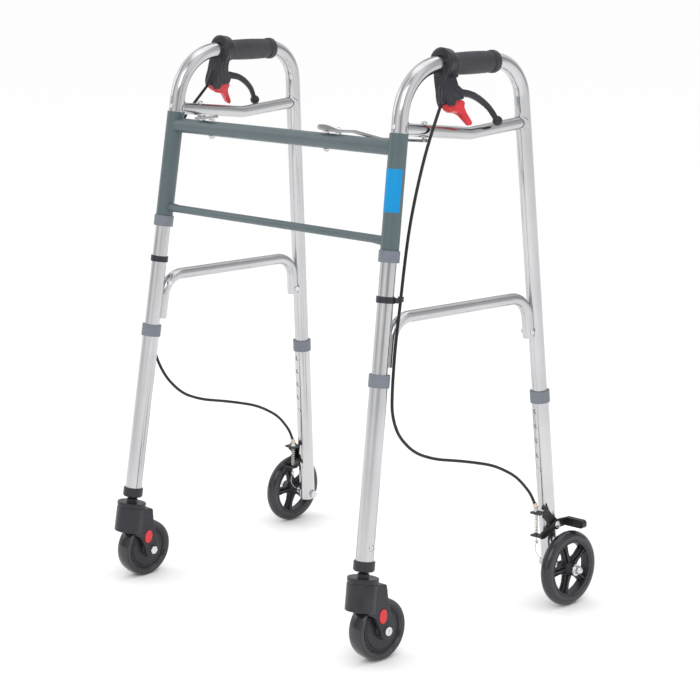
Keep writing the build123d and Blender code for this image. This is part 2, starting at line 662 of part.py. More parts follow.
def brake_spring():
    plane = Plane(origin=at(CABLE_END_U, SPRING_BOTTOM_Z + 0.8, CABLE_END_OUT), x_dir=(1, 0, 0), z_dir=(0, 0, 1))
    return coil(plane, 3.1, 0.6, SPRING_TOP_Z - SPRING_BOTTOM_Z - 2.2, 9)


# ---- front frame ----
def bar_end(z):
    """Where a crossbar's centreline meets the left fold axis, in the whole frame's axes."""
    return SIDE_TO_LEFT * Pos(at(front_u(z), z))


def world_point(location):
    return Vector(*location.position)


def hinge_sleeve():
    length = (SLEEVE_TOP_Z - SLEEVE_BOTTOM_Z) / cos(radians(SPLAY)) / FRONT_DIR.Z
    return ring(on_front(SLEEVE_BOTTOM_Z), SLEEVE_R, SLEEVE_BORE_R, length)


def sleeve_collar():
    """Moulded bush under the sleeve; its skirt runs on the side tube."""
    plane = on_front(SLEEVE_BOTTOM_Z)
    return ring(plane, COLLAR_R, TUBE_R + RUNNING, COLLAR_HEIGHT, -COLLAR_HEIGHT)


def crossbar(z, radius, wall, flare):
    end = world_point(bar_end(z))
    start = Plane(origin=(-end.X, end.Y, end.Z), x_dir=(0, 1, 0), z_dir=(1, 0, 0))
    bar = ring(start, radius, radius - wall, 2 * end.X)
    if flare:
        for plane, way in ((start, 1), (start, -1)):
            foot = Plane(origin=(-way * end.X, end.Y, end.Z), x_dir=(0, 1, 0), z_dir=(way, 0, 0))
            wide = foot * Pos(0, 0, SLEEVE_R - 6) * Ellipse(radius * 0.9, flare)
            thin = foot * Pos(0, 0, SLEEVE_R + 22) * Ellipse(radius, radius)
            bar += loft([wide, thin]) - ring(start, radius, 0.1, 1)
    sleeves = place_left(rod(on_front(SLEEVE_BOTTOM_Z - 20), SLEEVE_R, 240))
    return bar - sleeves - to_right(sleeves)


def crossbars():
    upper = crossbar(UPPER_BAR_Z, UPPER_BAR_R, 1.4, 0)
    for bolt in [*solids(latch_bolts(LEFT)), *mirrored(latch_bolts(RIGHT))]:
        upper -= bolt
    return [upper, crossbar(LOWER_BAR_Z, LOWER_BAR_R, 1.4, 9.5)]


def latch_pivot(side):
    """Point over the upper crossbar where a latch plate rocks, as on the left side."""
    bar = world_point(bar_end(UPPER_BAR_Z))
    return Vector(LATCH_X[side], bar.Y, bar.Z + UPPER_BAR_R + LATCH_LIFT)


def stud_tip():
    tip = Plane(origin=stud_plane().origin - Vector(0, 0, STUD_DROP))
    return world_point(SIDE_TO_LEFT * Pos(tip.origin))


def latch_run(side):
    """Level vector from a latch plate's pivot to the stud over its end."""
    run = stud_tip() - latch_pivot(side)
    return Vector(run.X, run.Y, 0)


def latch_plate(side):
    """Joggled plate over the crossbar: a paddle inboard, a low run with a hole under the stud."""
    pivot = latch_pivot(side)
    run = latch_run(side)
    along = run.normalized()
    across = Vector(0, 0, 1).cross(along)
    half = LATCH_WIDTH / 2
    drop = pivot.Z + LATCH_THICKNESS - LATCH_END_TOP_Z
    flat_start = run.length - LATCH_FLAT[side]
    ramp_start = flat_start - LATCH_RAMP[side]
    spine = ((-8, 0), (ramp_start, 0), (flat_start, -drop), (run.length, -drop))
    outline = [*spine, *[(x, z + LATCH_THICKNESS) for x, z in reversed(spine)]]
    plate = prism(Plane(origin=pivot, x_dir=along, z_dir=-across), outline, -half, half)
    end = Plane(origin=pivot + run - Vector(0, 0, drop), z_dir=(0, 0, 1))
    plate += rod(Plane(origin=pivot), half, LATCH_THICKNESS) + rod(end, 9, LATCH_THICKNESS)
    plate -= rod(end, 5.4, 20, -10)
    tongue = block(Plane(origin=pivot), -19, -5, -8, 8, 0, LATCH_THICKNESS)
    rise = radians(13)
    paddle_base = Plane(origin=pivot + Vector(-17, 0, 0.4), x_dir=(-cos(rise), 0, sin(rise)),
                        z_dir=(sin(rise), 0, cos(rise)))
    length = PADDLE_LENGTH[side]
    paddle = block(paddle_base, 0, length, -PADDLE_R, PADDLE_R, 0, LATCH_THICKNESS)
    tip = paddle_base * Plane(origin=(length, 0, 0))
    paddle += rod(tip, PADDLE_R, LATCH_THICKNESS)
    return plate + tongue + paddle - rod(Plane(origin=pivot), 3, 40, -20)


def latch_bolts(side):
    """Rivet the plate rocks on, and the bolt and nut under its paddle."""
    bar = latch_pivot(side) - Vector(0, 0, LATCH_LIFT)
    rivet = rod(Plane(origin=bar), 2.6, LATCH_LIFT + 5, -1.4) + rod(Plane(origin=bar), 5, LATCH_LIFT - 1)
    rivet += dome_screw(Plane(origin=bar + Vector(0, 0, LATCH_LIFT + 5)), 5, 2.2)
    bolt_spot = bar - Vector(PADDLE_BOLT[side], 0, 0)
    bolt = rod(Plane(origin=bolt_spot), 3, 2 * UPPER_BAR_R + 8, -2 * UPPER_BAR_R - 5)
    bolt += Plane(origin=bolt_spot) * extrude(RegularPolygon(5.5, 6), 3.4)
    bolt += Plane(origin=bolt_spot - Vector(0, 0, 2 * UPPER_BAR_R + 3)) * extrude(RegularPolygon(5.5, 6), 3)
    return [rivet, bolt]


# ---- assembly ----
def solids(shape):
    """Every solid of a shape or of a list of shapes."""
    if isinstance(shape, (list, tuple)):
        return [solid for item in shape for solid in solids(item)]
    return list(shape.solids())


def mirrored(shape):
    return [to_right(solid) for solid in solids(shape)]


HAND_NODES = {                # these sit a little further back on the right side
    "grip": grip,
    "brake_housing": brake_housing,
    "frame_hardware": frame_hardware,
    "brake_cable": brake_cable,
    "cable_clip": cable_clip,
    "brake_lever": brake_lever,
    "parking_catch": parking_catch,
}
SIDE_NODES = {
    "side_tube": side_tube,
    "side_braces": side_braces,
    "snap_button_front": lambda: snap_button(FRONT_BUTTON, True),
    "snap_button_rear": lambda: snap_button(REAR_BUTTON, False),
    "leg_front": leg_front,
    "leg_collar_front": lambda: leg_collar(on_front, FRONT_LEG_TOP_Z),
    "leg_plug": leg_plug,
    "caster_fork": caster_fork,
    "caster_plug": caster_plug,
    "caster_axle": caster_axle,
    "caster_tyre": caster_tyre,
    "caster_hub": caster_hub,
    "leg_rear": leg_rear,
    "leg_collar_rear": lambda: leg_collar(on_rear, REAR_LEG_TOP_Z),
    "brake_bracket": brake_bracket,
    "rear_hardware": rear_hardware,
    "rear_tyre": rear_tyre,
    "rear_hub": rear_hub,
    "brake_arm": brake_arm,
    "brake_spring": brake_spring,
}


def write(name, shapes):
    export_step(Compound(label=name, children=solids(shapes)), f"parts/{name}.step")


def placed_left(shapes):
    return [place_left(solid) for solid in solids(shapes)]


def main():
    os.makedirs("parts", exist_ok=True)
    for name, make in SIDE_NODES.items():
        left = placed_left(make())
        write(f"{name}_left", left)
        write(f"{name}_right", mirrored(left))
    for name, make in HAND_NODES.items():
        write(f"{name}_left", placed_left(make(LEFT)))
        write(f"{name}_right", mirrored(placed_left(make(RIGHT))))
    for name, make in (("hinge_sleeves", hinge_sleeve), ("sleeve_collars", sleeve_collar)):
        left = place_left(make())
        write(name, [left, to_right(left)])
    write("crossbars", crossbars())
    write("latch_left", latch_plate(LEFT))
    write("latch_right", to_right(latch_plate(RIGHT)))
    write("latch_fasteners", latch_bolts(LEFT) + mirrored(latch_bolts(RIGHT)))


if __name__ == "__main__":
    main()
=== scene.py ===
import json
import math

import bmesh
import bpy
from mathutils import Matrix, Vector


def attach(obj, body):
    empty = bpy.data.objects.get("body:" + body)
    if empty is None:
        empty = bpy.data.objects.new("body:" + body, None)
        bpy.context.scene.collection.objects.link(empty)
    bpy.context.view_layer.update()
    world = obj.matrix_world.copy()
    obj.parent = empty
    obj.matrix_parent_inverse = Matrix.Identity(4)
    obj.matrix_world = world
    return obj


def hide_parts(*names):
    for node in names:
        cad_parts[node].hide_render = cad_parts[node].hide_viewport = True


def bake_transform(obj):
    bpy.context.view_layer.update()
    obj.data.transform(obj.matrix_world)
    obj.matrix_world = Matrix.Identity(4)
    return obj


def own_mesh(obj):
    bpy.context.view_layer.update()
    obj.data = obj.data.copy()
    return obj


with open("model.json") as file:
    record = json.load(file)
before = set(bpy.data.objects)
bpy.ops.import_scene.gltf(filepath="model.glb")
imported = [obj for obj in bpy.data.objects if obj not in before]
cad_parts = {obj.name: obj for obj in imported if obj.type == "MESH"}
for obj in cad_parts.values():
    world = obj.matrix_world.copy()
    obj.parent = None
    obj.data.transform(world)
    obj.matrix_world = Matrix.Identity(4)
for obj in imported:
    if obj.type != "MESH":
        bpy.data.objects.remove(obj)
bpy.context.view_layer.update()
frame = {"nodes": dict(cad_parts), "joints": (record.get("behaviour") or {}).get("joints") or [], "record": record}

# A walking frame with two folding sides. The CAD's solids are in metres, in the frame's own axes. The pieces
# made here are in millimetres, in a side frame's plane (outboard, rearward, up), and Side places them.

JOINTS = {joint["name"]: joint for joint in frame["joints"]}
NODES = frame["nodes"]
SIDES = ("left", "right")


# ---- where things are ----
class Side:
    """One side frame at rest: its plane's axes and its front leg's line, worked out from the joints."""

    def __init__(self, name):
        self.name = name
        fold = JOINTS[f"{name}_fold"]
        flip = 1 if name == "left" else -1
        self.origin = Vector(fold["pos_m"])
        self.out = Vector(JOINTS[f"{name}_rear_wheel_roll"]["axis"]) * flip
        self.back = Vector((0, 0, 1)).cross(self.out).normalized() * flip
        self.up = self.out.cross(self.back) * flip
        lean = Vector(fold["axis"]) * flip
        self.front_slope = lean.dot(self.back) / lean.z

    def along(self, way):
        """A frame direction as its shares outboard, rearward and up the plane."""
        return Vector([Vector(way).dot(axis) for axis in (self.out, self.back, self.up)])

    def local(self, point):
        """Millimetres outboard, rearward and up the plane, of a point of the frame."""
        return self.along((Vector(point) - self.origin) * 1000)

    def at(self, u, z, out=0.0):
        """Local point from a rearward place and a height over the floor, in millimetres."""
        return Vector((out, u, (z - self.origin.z * 1000) / self.up.z))

    def front_u(self, z):
        """Rearward place of the front leg's centre line at a height over the floor."""
        return self.front_slope * (z - self.origin.z * 1000)

    def matrix(self):
        """Local millimetres to frame metres; its determinant is negative on the mirrored side."""
        turn = Matrix((self.out, self.back, self.up)).transposed().to_4x4()
        return Matrix.Translation(self.origin) @ turn @ Matrix.Scale(0.001, 4)


SIDE = {name: Side(name) for name in SIDES}


# ---- material building ----
class Surface:
    """A Principled material whose colour, roughness and relief come from procedural nodes."""

    def __init__(self, name, colour, roughness, metallic=0.0):
        self.material = bpy.data.materials.new(name)
        self.material.use_nodes = True
        self.tree = self.material.node_tree
        self.shader = self.tree.nodes["Principled BSDF"]
        self.shader.inputs["Base Color"].default_value = (*colour, 1)
        self.shader.inputs["Roughness"].default_value = roughness
        self.shader.inputs["Metallic"].default_value = metallic
        self.colour, self.roughness = colour, roughness
        self.place = self.tree.nodes.new("ShaderNodeTexCoord")
        self.relief = None

    def node(self, kind, **values):
        made = self.tree.nodes.new(kind)
        for key, value in values.items():
            if key in made.inputs:
                made.inputs[key].default_value = value
            else:
                setattr(made, key, value)
        return made

    def link(self, output, target):
        self.tree.links.new(output, target)

    def stretched(self, scale):
        mapping = self.node("ShaderNodeMapping")
        mapping.inputs["Scale"].default_value = scale
        self.link(self.place.outputs["Object"], mapping.inputs["Vector"])
        return mapping.outputs["Vector"]

    def noise(self, scale, detail, stretch=(1, 1, 1)):
        made = self.node("ShaderNodeTexNoise", Scale=scale, Detail=detail, Roughness=0.55)
        self.link(self.stretched(stretch), made.inputs["Vector"])
        return made.outputs["Fac"]

    def remap(self, value, low, high, start=0.3):
        """Stretches the middle of a noise's range to run from low to high."""
        made = self.node("ShaderNodeMapRange")
        for slot, number in (("From Min", start), ("From Max", 0.7), ("To Min", low), ("To Max", high)):
            made.inputs[slot].default_value = number
        self.link(value, made.inputs["Value"])
        return made.outputs["Result"]

    def vary_roughness(self, value, spread):
        self.link(self.remap(value, self.roughness - spread, self.roughness + spread),
                  self.shader.inputs["Roughness"])

    def vary_colour(self, value, other, amount):
        mix = self.node("ShaderNodeMix", data_type="RGBA")
        mix.inputs["A"].default_value = (*self.colour, 1)
        mix.inputs["B"].default_value = (*other, 1)
        self.link(self.remap(value, 0.0, amount, start=0.35), mix.inputs["Factor"])
        self.link(mix.outputs["Result"], self.shader.inputs["Base Color"])

    def bump(self, value, strength, distance):
        made = self.node("ShaderNodeBump", Strength=strength, Distance=distance)
        self.link(value, made.inputs["Height"])
        if self.relief:
            self.link(self.relief, made.inputs["Normal"])
        self.relief = made.outputs["Normal"]
        self.link(self.relief, self.shader.inputs["Normal"])

    def soften_edges(self, radius):
        """Rounds the shading of sharp edges, as a moulded or tumbled edge looks."""
        made = self.node("ShaderNodeBevel", samples=4)
        made.inputs["Radius"].default_value = radius
        self.relief = made.outputs["Normal"]
        self.link(self.relief, self.shader.inputs["Normal"])

    def coat(self, weight, roughness):
        self.shader.inputs["Coat Weight"].default_value = weight
        self.shader.inputs["Coat Roughness"].default_value = roughness


def polished_aluminium():
    s = Surface("polished_aluminium", (0.60, 0.603, 0.612), 0.17, 1.0)
    s.vary_roughness(s.noise(90, 5, (1, 1, 0.02)), 0.05)
    s.vary_colour(s.noise(7, 3), (0.48, 0.483, 0.492), 0.7)
    s.bump(s.noise(420, 3, (1, 1, 0.03)), 0.05, 0.0002)
    s.bump(s.noise(14, 2), 0.05, 0.001)
    return s.material


def green_paint():
    s = Surface("green_paint", (0.074, 0.106, 0.116), 0.36)
    s.vary_colour(s.noise(9, 5), (0.086, 0.122, 0.133), 0.8)
    s.vary_roughness(s.noise(40, 4), 0.06)
    s.soften_edges(0.0006)
    s.bump(s.noise(700, 2), 0.10, 0.0002)
    s.coat(0.15, 0.25)
    return s.material


def grey_plastic():
    s = Surface("grey_plastic", (0.155, 0.170, 0.205), 0.46)
    s.vary_colour(s.noise(30, 4), (0.185, 0.200, 0.235), 0.7)
    s.vary_roughness(s.noise(120, 3), 0.08)
    s.soften_edges(0.0008)
    s.bump(s.noise(1500, 2), 0.16, 0.0001)
    return s.material


def moulded_black(name, colour, roughness, grain, relief):
    """Dull black moulding: grain is the noise scale of its relief."""
    s = Surface(name, colour, roughness)
    s.vary_colour(s.noise(24, 5), tuple(c * 1.8 for c in colour), 0.8)
    s.vary_roughness(s.noise(90, 4), 0.08)
    s.soften_edges(0.0008)
    s.bump(s.noise(grain, 2), relief, 0.0001)
    s.shader.inputs["Specular IOR Level"].default_value = 0.36
    return s.material


def red_plastic():
    s = Surface("red_plastic", (0.60, 0.020, 0.028), 0.28)
    s.vary_colour(s.noise(35, 4), (0.70, 0.034, 0.042), 0.7)
    s.vary_roughness(s.noise(150, 3), 0.06)
    s.soften_edges(0.0007)
    s.bump(s.noise(900, 2), 0.08, 0.0001)
    return s.material


def plated_steel(name, colour, roughness):
    s = Surface(name, colour, roughness, 1.0)
    s.vary_colour(s.noise(60, 5), tuple(c * 0.86 for c in colour), 0.7)
    s.vary_roughness(s.noise(200, 4), 0.06)
    s.soften_edges(0.0004)
    s.bump(s.noise(600, 2), 0.05, 0.0001)
    return s.material


def black_steel():
    s = Surface("black_steel", (0.007, 0.007, 0.008), 0.34)
    s.vary_colour(s.noise(50, 5), (0.016, 0.016, 0.018), 0.9)
    s.vary_roughness(s.noise(160, 4), 0.10)
    s.soften_edges(0.0007)
    s.bump(s.noise(900, 2), 0.12, 0.0001)
    return s.material


def tyre_rubber():
    colour = (0.012, 0.012, 0.016)
    s = Surface("tyre_rubber", colour, 0.17)
    s.vary_colour(s.noise(18, 6), tuple(c * 1.7 for c in colour), 0.9)
    s.vary_roughness(s.noise(70, 5), 0.06)
    s.bump(s.noise(900, 3), 0.07, 0.0001)
    s.shader.inputs["Specular IOR Level"].default_value = 0.62
    return s.material


def ferrule_brass():
    s = Surface("ferrule_brass", (0.70, 0.58, 0.46), 0.30, 1.0)
    s.vary_colour(s.noise(80, 4), (0.60, 0.48, 0.36), 0.8)
    s.vary_roughness(s.noise(200, 4), 0.08)
    s.bump(s.noise(1200, 3), 0.10, 0.0001)
    return s.material


def label_film():
    s = Surface("label_film", (0.006, 0.245, 0.55), 0.42)
    s.vary_colour(s.noise(12, 3), (0.010, 0.275, 0.60), 0.8)
    s.vary_roughness(s.noise(60, 3), 0.05)
    s.bump(s.noise(260, 2), 0.05, 0.0001)
    s.shader.inputs["Specular IOR Level"].default_value = 0.15
    return s.material


MATERIALS = {
    "polished_aluminium": polished_aluminium(),
    "green_paint": green_paint(),
    "grey_plastic": grey_plastic(),
    "grip_foam": moulded_black("grip_foam", (0.032, 0.031, 0.037), 0.42, 1100, 0.3),
    "black_plastic": moulded_black("black_plastic", (0.017, 0.017, 0.022), 0.31, 1600, 0.14),
    "red_plastic": red_plastic(),
    "zinc_steel": plated_steel("zinc_steel", (0.70, 0.71, 0.73), 0.22),
    "latch_steel": plated_steel("latch_steel", (0.42, 0.42, 0.43), 0.30),
    "black_steel": black_steel(),
    "cable_jacket": moulded_black("cable_jacket", (0.007, 0.007, 0.008), 0.32, 500, 0.06),
    "spring_steel": plated_steel("spring_steel", (0.70, 0.66, 0.56), 0.26),
    "tyre_rubber": tyre_rubber(),
}
# surfaces of small pieces that share another part's slot
FERRULE_BRASS = ferrule_brass()
LABEL_FILM = label_film()


def dress_cad():
    """Every CAD node gets its slot's material in place of the plain one it was packed with."""
    for part in frame["record"]["subparts"]:
        node = NODES[part["node"]]
        node.data.materials.clear()
        node.data.materials.append(MATERIALS[part["material_slot"]])


# ---- piece building ----
def part_box(node, side):
    """Lowest and highest corner of a CAD node in its side frame's local millimetres."""
    points = [side.local(vertex.co) for vertex in NODES[node].data.vertices]
    low = Vector([min(p[axis] for p in points) for axis in range(3)])
    return low, Vector([max(p[axis] for p in points) for axis in range(3)])


def axes(origin, axis, ref):
    """Local matrix whose Z runs along axis and whose X is near ref."""
    z = Vector(axis).normalized()
    y = z.cross(Vector(ref)).normalized()
    return Matrix.Translation(origin) @ Matrix((y.cross(z), y, z)).transposed().to_4x4()


class Form:
    """Vertices and faces in a side frame's local millimetres."""

    def __init__(self):
        self.verts, self.faces = [], []

    def add(self, verts, faces):
        start = len(self.verts)
        self.verts += verts
        self.faces += [[start + i for i in face] for face in faces]
        return self

    def loops(self, rows, ring=True):
        """Skin over rows of points, its last row joined to its first, or else both of them capped."""
        count = len(rows[0])
        verts = [point for row in rows for point in row]
        faces = []
        for r in range(len(rows) if ring else len(rows) - 1):
            here, there = r * count, (r + 1) % len(rows) * count
            for k in range(count):
                after = (k + 1) % count
                faces.append([here + k, here + after, there + after, there + k])
        if not ring:
            last = (len(rows) - 1) * count
            faces += [list(range(count))[::-1], list(range(last, last + count))]
        return self.add(verts, faces)

    def lathe(self, place, profile, segments, ripple=None):
        """Closed profile of (radius, height) turned about the matrix's Z; ripple changes a radius."""
        rows = []
        for radius, level in profile:
            row = []
            for k in range(segments):
                angle = 2 * math.pi * k / segments
                r = radius + (ripple(angle, radius, level) if ripple else 0)
                row.append(place @ Vector((r * math.cos(angle), r * math.sin(angle), level)))
            rows.append(row)
        return self.loops(rows)

    def strip(self, place, path, widths, heights, segments, power):
        """Bar along a path in the matrix's XY plane; its section is an ellipse, squarer above power 2."""
        rows = []
        for k, (x, y) in enumerate(path):
            before, after = path[max(k - 1, 0)], path[min(k + 1, len(path) - 1)]
            along = Vector((after[0] - before[0], after[1] - before[1], 0)).normalized()
            up = Vector((-along.y, along.x, 0))
            row = []
            for n in range(segments):
                angle = 2 * math.pi * n / segments
                c, t = math.cos(angle), math.sin(angle)
                across = math.copysign(abs(c) ** (2 / power), c) * widths[k] / 2
                rise = math.copysign(abs(t) ** (2 / power), t) * heights[k] / 2
                row.append(place @ (Vector((x, y, across)) + up * rise))
            rows.append(row)
        return self.loops(rows, ring=False)

    def slab(self, place, corners, low, high):
        """Polygon of (x, y) corners in the matrix's plane, between two heights."""
        rows = [[place @ Vector((x, y, level)) for x, y in corners] for level in (low, high)]
        return self.loops(rows, ring=False)

    def ball(self, centre, radius):
        turns = 12
        profile = [(radius * math.sin(math.pi * k / turns) + 1e-4, -radius * math.cos(math.pi * k / turns))
                   for k in range(turns + 1)]
        return self.lathe(Matrix.Translation(centre), profile, 2 * turns)


def finish_mesh(mesh):
    """Merged, facing outward, and shaded smooth except across its sharp edges."""
    editable = bmesh.new()
    editable.from_mesh(mesh)
    bmesh.ops.remove_doubles(editable, verts=editable.verts, dist=1e-7)
    bmesh.ops.recalc_face_normals(editable, faces=editable.faces)
    editable.to_mesh(mesh)
    editable.free()
    for polygon in mesh.polygons:
        polygon.use_smooth = True
    mesh.set_sharp_from_angle(angle=math.radians(35))


def round_edges(piece, width, segments, from_angle):
    """Bevels edges that turn by more than from_angle; width in millimetres."""
    bevel = piece.modifiers.new("rounding", "BEVEL")
    bevel.width, bevel.segments, bevel.limit_method = width / 1000, segments, "ANGLE"
    bevel.angle_limit = math.radians(from_angle)


def dress(piece, body, slot, replaced, material=None):
    """Gives the piece its material, from its slot unless one is given, puts it on its body, and hides the CAD
    nodes it stands for.
    """
    piece.data.materials.clear()
    piece.data.materials.append(material or MATERIALS[slot])
    if body:
        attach(piece, body)
    if replaced:
        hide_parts(*replaced)
    return piece


def place_piece(name, side, form, body, slot, replaced=(), rounding=0.0, material=None):
    """Object from a form; rounding is a bevel's width in millimetres."""
    mesh = bpy.data.meshes.new(name)
    mesh.from_pydata([side.matrix() @ vert for vert in form.verts], [], form.faces)
    finish_mesh(mesh)
    piece = bpy.data.objects.new(name, mesh)
    bpy.context.scene.collection.objects.link(piece)
    if rounding:
        round_edges(piece, rounding, 2, 40)
    return dress(piece, body, slot, replaced, material)


def cad_copy(name, node):
    piece = bpy.data.objects.new(name, NODES[node].data.copy())
    piece.matrix_world = NODES[node].matrix_world.copy()
    bpy.context.scene.collection.objects.link(piece)
    return piece


def reshape(piece, side, place, move):
    """Moves every vertex by a rule written in the matrix's own millimetres."""
    there = side.matrix() @ place
    back = there.inverted()
    for vertex in piece.data.vertices:
        vertex.co = there @ Vector(move(*(back @ vertex.co)))


def moulded(name, side, node, body, slot, voxel, passes, extra=None, place=None, move=None):
    """A CAD solid, reshaped and with any extra form added, its edges melted together as a moulding's are."""
    piece = cad_copy(name, node)
    if move:
        reshape(piece, side, place, move)
    if extra:
        added = bpy.data.meshes.new("added")
        added.from_pydata([side.matrix() @ vert for vert in extra.verts], [], extra.faces)
        joined = bmesh.new()
        joined.from_mesh(piece.data)
        joined.from_mesh(added)
        joined.to_mesh(piece.data)
        joined.free()
        bpy.data.meshes.remove(added)
    finish_mesh(piece.data)
    remesh = piece.modifiers.new("skin", "REMESH")
    remesh.mode, remesh.voxel_size, remesh.use_smooth_shade = "VOXEL", voxel / 1000, True
    smooth = piece.modifiers.new("melt", "SMOOTH")
    smooth.factor, smooth.iterations = 0.5, passes
    return dress(piece, body, slot, [node])


# ---- handle ----
def handle_frame(side):
    """Matrix on the grip's front end (Z rearward along the handle, X outboard), its length and its radius."""
    low, high = part_box(f"grip_{side.name}", side)
    radius = (high.x - low.x) / 2
    fall = math.atan2((high.z - low.z) - 2 * radius, high.y - low.y)
    front = Vector(((low.x + high.x) / 2, low.y, high.z - radius - 0.2))
    along = Vector((0, math.cos(fall), -math.sin(fall)))
    return axes(front, along, (1, 0, 0)), (high.y - low.y), radius


GRIP_BORE = 12.85
GRIP_RIBS = 40


def grip(side):
    """Barrel-shaped rubber grip with fine ribs, a groove and a rounded bead at its rear end."""
    place, length, radius = handle_frame(side)
    body, neck = radius - 0.7, radius - 1.9
    profile = [(GRIP_BORE, 0.3), (radius - 1.6, 0.3), (radius - 0.7, 1.0), (radius - 0.6, 3.5), (neck, 5.0)]
    steps = 16                  # of the barrel, from its neck at 7 mm to 15 mm short of the rear end
    for k in range(steps + 1):
        share = k / steps
        profile.append((neck + (body - neck) * math.sin(math.pi * share) ** 0.6, 7 + (length - 22) * share))
    profile += [(neck - 0.3, length - 13.5), (neck - 0.3, length - 12.5), (radius - 0.5, length - 11.5),
                (radius, length - 8), (radius, length - 4), (radius - 0.8, length - 1.5),
                (radius - 2.4, length - 0.3), (GRIP_BORE, length - 0.3)]

    def ribs(angle, r, level):
        inside = 8 < level < length - 16 and r > GRIP_BORE + 1
        return 0.22 * math.cos(GRIP_RIBS * angle) if inside else 0.0

    form = Form().lathe(place, profile, GRIP_RIBS * 5, ribs)
    place_piece(f"grip_rubber_{side.name}", side, form, f"{side.name}_side_frame", "grip_foam",
                [f"grip_{side.name}"])


def brake_frame(side):
    """Matrix on the brake lever's pivot: X rearward along the handle, Y up, Z outboard."""
    joint = JOINTS[f"{side.name}_brake_lever_squeeze"]
    flip = 1 if side.name == "left" else -1
    axis = Vector(joint["axis"]) * flip
    along = handle_frame(side)[0].to_3x3() @ Vector((0, 0, 1))
    return axes(side.local(joint["pos_m"]), side.along(axis), along)


def smooth_line(points, count):
    """Evenly spaced points on a Catmull-Rom curve through the given ones, in any number of axes."""
    ends = [points[0], *points, points[-1]]
    line = []
    for k in range(count):
        place = min(k * (len(points) - 1) / (count - 1), len(points) - 1.0001)
        step, t = int(place), place % 1
        p0, p1, p2, p3 = ends[step:step + 4]
        line.append(tuple(
            0.5 * (2 * b + (c - a) * t + (2 * a - 5 * b + 4 * c - d) * t * t
                   + (3 * b - a - 3 * c + d) * t ** 3)
            for a, b, c, d in zip(p0, p1, p2, p3)))
    return line


# outlines on the brake are (rearward, up) from the lever's pivot, as brake_frame has them
FLANK_RIDGES = (
    ((-20, 30), (-21, 20), (-19, 8), (-12, -2), (-4, -7)),
    ((-11, 31), (-12, 22), (-11, 14), (-6, 8), (1, 5)),
    ((-25, 26), (-26, 12), (-25, -2), (-22, -8)),
)
FLANK_OUT = 11.6                # a flank's distance from the housing's middle plane

CLAMP_REAR = (-13, 14, 0.46)    # each shoulder's start along the handle, its run, and the share it sinks by
CLAMP_FRONT = (-15, 7, 0.24)
CLAMP_RISE = (24, 12)           # height where the sinking starts, and the rise over which it grows
CLAMP_AXIS_Y = 49.5
CLAMP_BORE = 13.5


def clipped(share):
    return min(max(share, 0), 1)


def round_clamp(x, y, z):
    """Rounds both shoulders of the clamp down towards the handle."""
    radius = math.hypot(y - CLAMP_AXIS_Y, z)
    if radius < CLAMP_BORE:
        return x, y, z
    (rear_x, rear_run, rear_sink), (front_x, front_run, front_sink) = CLAMP_REAR, CLAMP_FRONT
    rear = clipped((x - rear_x) / rear_run)
    front = clipped((front_x - x) / front_run)
    high = clipped((y - CLAMP_RISE[0]) / CLAMP_RISE[1])
    sink = (rear_sink * rear ** 2 + front_sink * front ** 2) * high
    keep = CLAMP_BORE + (radius - CLAMP_BORE) * (1 - sink)
    return x, CLAMP_AXIS_Y + (y - CLAMP_AXIS_Y) * keep / radius, z * keep / radius


def housing_ridges(side):
    """Raised ridges that flow down both flanks."""
    place = brake_frame(side)
    form = Form()
    for flank in (-1, 1):
        lifted = place @ Matrix.Translation((0, 0, flank * FLANK_OUT))
        for corners in FLANK_RIDGES:
            line = smooth_line(corners, 25)
            form.strip(lifted, line, [3.4] * len(line), [3.2] * len(line), 12, 2)
    return form


LEVER_PATH = ((-1, 0), (6, 1.2), (14, 1.6), (22, 0.2), (32, -1.5), (41, -4.5), (50, -9), (58, -14.2),
              (65, -19.5), (71, -25), (76, -31.5), (80, -38), (83.5, -43.5))
LEVER_WIDTHS = (10.6, 10.6, 10.8, 11, 11, 10.8, 10.4, 10, 9.6, 9.2, 8.8, 8.6, 8.6)
LEVER_HEIGHTS = (13, 13, 12.4, 11.6, 11, 10.6, 10.2, 9.7, 9.2, 8.7, 8.2, 7.8, 7.8)
LEVER_SPINE = slice(3, -1)      # the stretch of the lever that has a raised spine
LEVER_BALL, LEVER_BALL_RADIUS = (86, -47, 0), 8.1


def brake_lever(side):
    """Tapered lever with a raised spine on each flank and a ball at its tip."""
    place = brake_frame(side)
    form = Form().strip(place, LEVER_PATH, LEVER_WIDTHS, LEVER_HEIGHTS, 28, 2.6)
    spine = LEVER_PATH[LEVER_SPINE]
    spine_heights = [height * 0.42 for height in LEVER_HEIGHTS[LEVER_SPINE]]
    for flank in (-1, 1):
        lifted = place @ Matrix.Translation((0, 0, flank * 4.6))
        form.strip(lifted, spine, [2.6] * len(spine), spine_heights, 12, 2)
    form.lathe(place, [(2.6, -6), (7.4, -6), (8, -5.4), (8, 5.4), (7.4, 6), (2.6, 6)], 40)
    form.ball(place @ Vector(LEVER_BALL), LEVER_BALL_RADIUS)
    place_piece(f"brake_lever_body_{side.name}", side, form, f"{side.name}_brake_lever", "black_plastic",
                [f"brake_lever_{side.name}"])


CATCH_TAIL = (8, -28), (24, -48)      # the parking catch's tail, root and tip
TAIL_TAPER = 0.45                     # share of the tail's length over which it slims
TAIL_NARROWER, TAIL_THINNER = 0.16, 0.38


def slim_tail(x, y, z):
    """Draws the parking catch's tail in towards its middle line."""
    (x0, y0), (x1, y1) = CATCH_TAIL
    run = Vector((x1 - x0, y1 - y0))
    share = Vector((x - x0, y - y0)).dot(run) / run.length_squared
    slimming = clipped(share / TAIL_TAPER)
    spot = Vector((x0, y0)) + run * share
    keep = 1 - TAIL_NARROWER * slimming
    return spot.x + (x - spot.x) * keep, spot.y + (y - spot.y) * keep, z * (1 - TAIL_THINNER * slimming)


